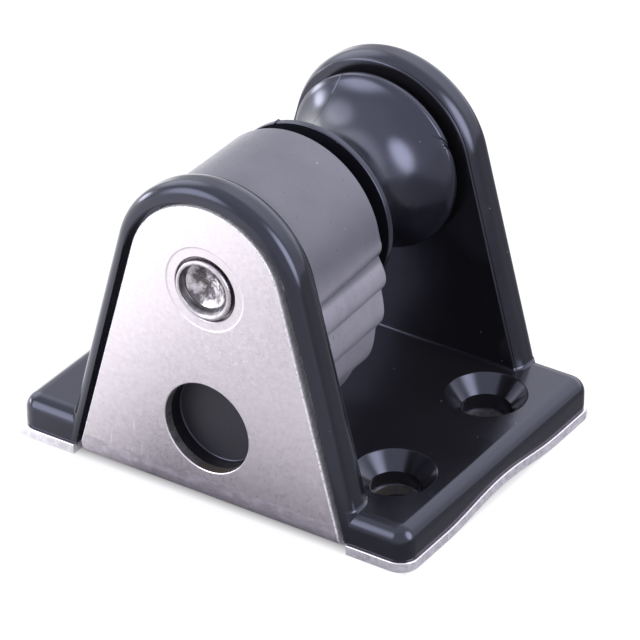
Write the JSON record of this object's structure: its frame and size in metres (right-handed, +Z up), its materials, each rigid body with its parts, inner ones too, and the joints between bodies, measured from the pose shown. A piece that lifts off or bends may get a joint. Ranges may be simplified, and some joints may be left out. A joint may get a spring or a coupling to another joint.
{
  "type": "rope jam cleat",
  "caption": "Rope jam cleat: folded steel cradle in a black plastic body, with a riveted axle carrying an eccentric toothed grey cam beside a grooved free-running roller.",
  "frame": {"origin": "middle of the underside, on the surface that the cleat is screwed to", "axes": "+X towards the loaded rope, Y along the axle with the cam at -Y and the roller at +Y, +Z up"},
  "size_m": [0.068, 0.0524, 0.0519],
  "materials": {
    "body_plastic": "glossy black injection-moulded plastic",
    "cradle_steel": "bright stainless sheet, faintly scratched, with sheared edges",
    "rivet_steel": "turned and swaged stainless pin",
    "cam_casting": "satin grey casting with fine pits",
    "roller_plastic": "semi-gloss black plastic with a fine moulding seam"
  },
  "bodies": {
    "housing": {"body_moulding": "body_plastic", "steel_cradle": "cradle_steel", "axle_pin": "rivet_steel"},
    "cam_body": {"cam": "cam_casting"},
    "roller_body": {"roller": "roller_plastic"}
  },
  "joints": [
    {"name": "cam_swing", "type": "hinge", "parent": "housing", "child": "cam_body", "pos_m": [0, 0, 0.0359], "axis": [0, 1, 0], "range_deg": [-20, 85]},
    {"name": "roller_spin", "type": "hinge", "parent": "housing", "child": "roller_body", "pos_m": [0, 0, 0.0359], "axis": [0, 1, 0], "continuous": true}
  ]
}
